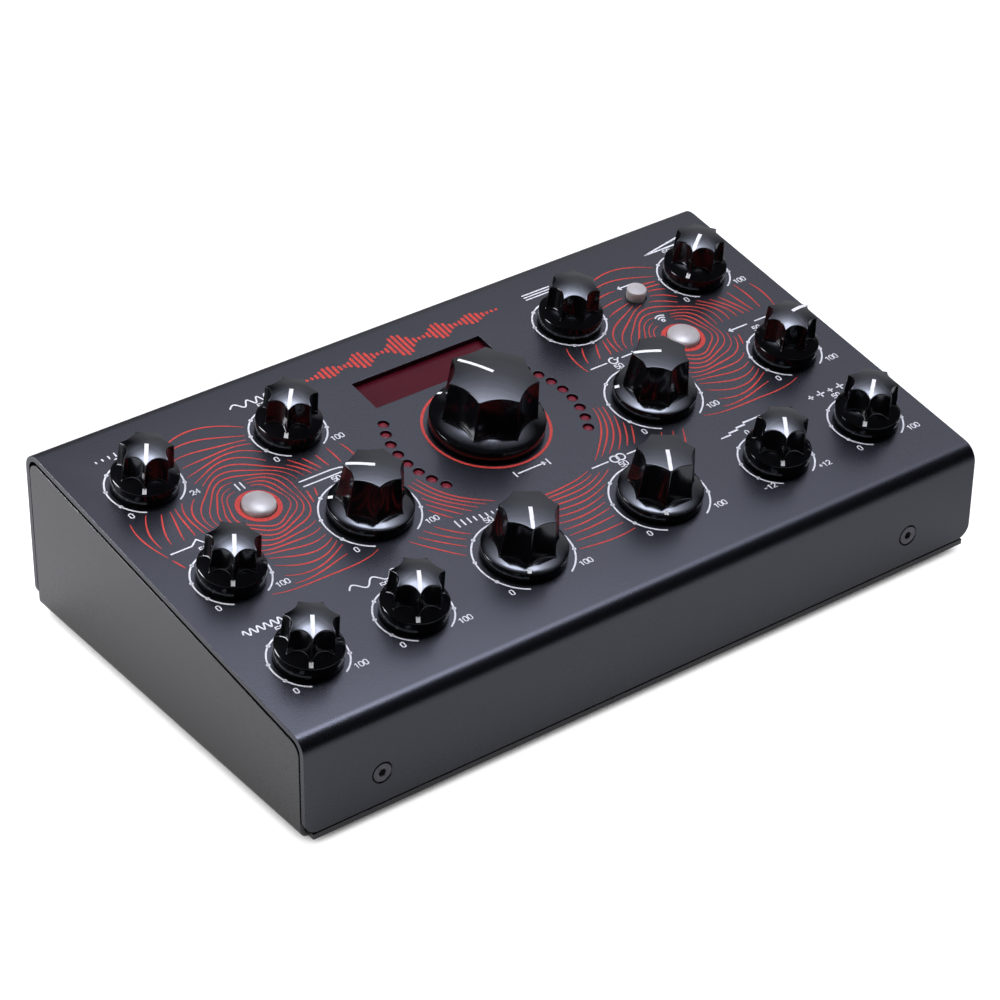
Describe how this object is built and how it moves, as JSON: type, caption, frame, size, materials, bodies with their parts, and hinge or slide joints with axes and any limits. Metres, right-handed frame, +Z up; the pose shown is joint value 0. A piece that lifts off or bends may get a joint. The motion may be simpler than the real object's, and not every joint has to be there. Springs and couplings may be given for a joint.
{
  "type": "desktop audio delay unit",
  "caption": "Desktop audio delay unit: sloped black sheet-metal case with rotary knobs, push buttons, a display window and indicator lamps.",
  "frame": {"origin": "on the surface the feet stand on, under the middle of the unit's outline", "axes": "+X to the user's right, +Y from the front to the back, +Z up"},
  "size_m": [0.285, 0.1666, 0.0807],
  "materials": {
    "cover_paint": "satin",
    "tray_paint": "satin",
    "rubber": "matte",
    "black_steel": "satin",
    "plated_steel": "brushed",
    "knob_black": "gloss",
    "pot_plastic": "matte",
    "push_plastic": "matte",
    "filter_red": "gloss",
    "display_glass": "gloss",
    "lamp_red": "satin",
    "cap_white": "satin",
    "socket_black": "matte",
    "board_green": "satin",
    "brass": "satin",
    "ribbon_grey": "matte"
  },
  "bodies": {
    "case": {"cover": "cover_paint", "cover_back": "cover_paint", "bottom_tray": "tray_paint", "feet": "rubber", "cover_screws": "black_steel", "press_nuts": "plated_steel", "pot_bodies": "pot_plastic", "encoder_body": "pot_plastic", "bushing_nuts": "plated_steel", "bushing_washers": "plated_steel", "display_filter": "filter_red", "display_module": "display_glass", "indicator_lamps": "lamp_red", "button_switches": "socket_black", "control_board": "board_green", "socket_board": "board_green", "board_spacers": "brass", "board_screws": "plated_steel", "link_ribbon": "ribbon_grey", "audio_sockets": "socket_black", "audio_socket_nuts": "plated_steel", "control_sockets": "socket_black", "power_socket": "socket_black", "power_switch_housing": "socket_black"},
    "gain_dial": {"knob_gain": "knob_black", "shaft_gain": "plated_steel"},
    "sweep_dial": {"knob_sweep": "knob_black", "shaft_sweep": "plated_steel"},
    "resonance_dial": {"knob_resonance": "knob_black", "shaft_resonance": "plated_steel"},
    "mod_speed_dial": {"knob_mod_speed": "knob_black", "shaft_mod_speed": "plated_steel"},
    "mod_depth_dial": {"knob_mod_depth": "knob_black", "shaft_mod_depth": "plated_steel"},
    "cutoff_dial": {"knob_cutoff": "knob_black", "shaft_cutoff": "plated_steel"},
    "reverb_dial": {"knob_reverb": "knob_black", "shaft_reverb": "plated_steel"},
    "time_dial": {"knob_time": "knob_black", "shaft_time": "plated_steel"},
    "mix_dial": {"knob_mix": "knob_black", "shaft_mix": "plated_steel"},
    "feedback_dial": {"knob_feedback": "knob_black", "shaft_feedback": "plated_steel"},
    "volume_dial": {"knob_volume": "knob_black", "shaft_volume": "plated_steel"},
    "spread_dial": {"knob_spread": "knob_black", "shaft_spread": "plated_steel"},
    "pitch_dial": {"knob_pitch": "knob_black", "shaft_pitch": "plated_steel"},
    "shimmer_dial": {"knob_shimmer": "knob_black", "shaft_shimmer": "plated_steel"},
    "data_push": {"encoder_push_plate": "push_plastic"},
    "data_dial": {"knob_data": "knob_black", "shaft_data": "plated_steel"},
    "freeze_button": {"button_freeze": "cap_white"},
    "tap_button": {"button_tap": "cap_white"},
    "back_button": {"button_back": "cap_white"},
    "power_lever": {"power_rocker": "socket_black"}
  },
  "joints": [
    {"name": "turn_gain", "type": "hinge", "parent": "case", "child": "gain_dial", "pos_m": [-0.1186, 0.04332, 0.06118], "axis": [0, -0.1521, 0.9884], "range_deg": [-296, 4]},
    {"name": "turn_sweep", "type": "hinge", "parent": "case", "child": "sweep_dial", "pos_m": [-0.0609, 0.04332, 0.06118], "axis": [0, -0.1521, 0.9884], "range_deg": [-290, 10]},
    {"name": "turn_resonance", "type": "hinge", "parent": "case", "child": "resonance_dial", "pos_m": [-0.1186, -0.00798, 0.05329], "axis": [0, -0.1521, 0.9884], "range_deg": [-298, 2]},
    {"name": "turn_mod_speed", "type": "hinge", "parent": "case", "child": "mod_speed_dial", "pos_m": [-0.1186, -0.05166, 0.04656], "axis": [0, -0.1521, 0.9884], "range_deg": [-298, 2]},
    {"name": "turn_mod_depth", "type": "hinge", "parent": "case", "child": "mod_depth_dial", "pos_m": [-0.0773, -0.05166, 0.04656], "axis": [0, -0.1521, 0.9884], "range_deg": [-299, 1]},
    {"name": "turn_cutoff", "type": "hinge", "parent": "case", "child": "cutoff_dial", "pos_m": [-0.0609, -0.00462, 0.0538], "axis": [0, -0.1521, 0.9884], "range_deg": [-201, 99]},
    {"name": "turn_reverb", "type": "hinge", "parent": "case", "child": "reverb_dial", "pos_m": [-0.029, -0.04702, 0.04728], "axis": [0, -0.1521, 0.9884], "range_deg": [-299, 1]},
    {"name": "turn_time", "type": "hinge", "parent": "case", "child": "time_dial", "pos_m": [0, 0.01189, 0.05634], "axis": [0, -0.1521, 0.9884], "range_deg": [-174, 126]},
    {"name": "turn_mix", "type": "hinge", "parent": "case", "child": "mix_dial", "pos_m": [0.029, -0.04702, 0.04728], "axis": [0, -0.1521, 0.9884], "range_deg": [-299, 1]},
    {"name": "turn_feedback", "type": "hinge", "parent": "case", "child": "feedback_dial", "pos_m": [0.0609, -0.00462, 0.0538], "axis": [0, -0.1521, 0.9884], "range_deg": [-210, 90]},
    {"name": "turn_volume", "type": "hinge", "parent": "case", "child": "volume_dial", "pos_m": [0.1186, 0.04332, 0.06118], "axis": [0, -0.1521, 0.9884], "range_deg": [-275, 25]},
    {"name": "turn_spread", "type": "hinge", "parent": "case", "child": "spread_dial", "pos_m": [0.1186, -0.00798, 0.05329], "axis": [0, -0.1521, 0.9884], "range_deg": [-71, 229]},
    {"name": "turn_pitch", "type": "hinge", "parent": "case", "child": "pitch_dial", "pos_m": [0.0773, -0.05166, 0.04656], "axis": [0, -0.1521, 0.9884], "range_deg": [-297, 3]},
    {"name": "turn_shimmer", "type": "hinge", "parent": "case", "child": "shimmer_dial", "pos_m": [0.1186, -0.05166, 0.04656], "axis": [0, -0.1521, 0.9884], "range_deg": [-282, 18]},
    {"name": "push_data", "type": "slide", "parent": "case", "child": "data_push", "axis": [0, -0.1521, 0.9884], "range_m": [-0.0005, 0], "stiffness_N_per_m": 2000, "springref_m": 0.0003},
    {"name": "turn_data", "type": "hinge", "parent": "data_push", "child": "data_dial", "pos_m": [0.0609, 0.04332, 0.06118], "axis": [0, -0.1521, 0.9884], "continuous": true},
    {"name": "press_freeze", "type": "slide", "parent": "case", "child": "freeze_button", "axis": [0, -0.1521, 0.9884], "range_m": [-0.0008, 0], "stiffness_N_per_m": 400, "springref_m": 0.0005},
    {"name": "press_tap", "type": "slide", "parent": "case", "child": "tap_button", "axis": [0, -0.1521, 0.9884], "range_m": [-0.0008, 0], "stiffness_N_per_m": 400, "springref_m": 0.0005},
    {"name": "press_back", "type": "slide", "parent": "case", "child": "back_button", "axis": [0, -0.1521, 0.9884], "range_m": [-0.0008, 0], "stiffness_N_per_m": 400, "springref_m": 0.0005},
    {"name": "rock_power", "type": "hinge", "parent": "case", "child": "power_lever", "pos_m": [0.02462, 0.07825, 0.0346], "axis": [0, 0, 1], "range_deg": [-16, 0]}
  ]
}
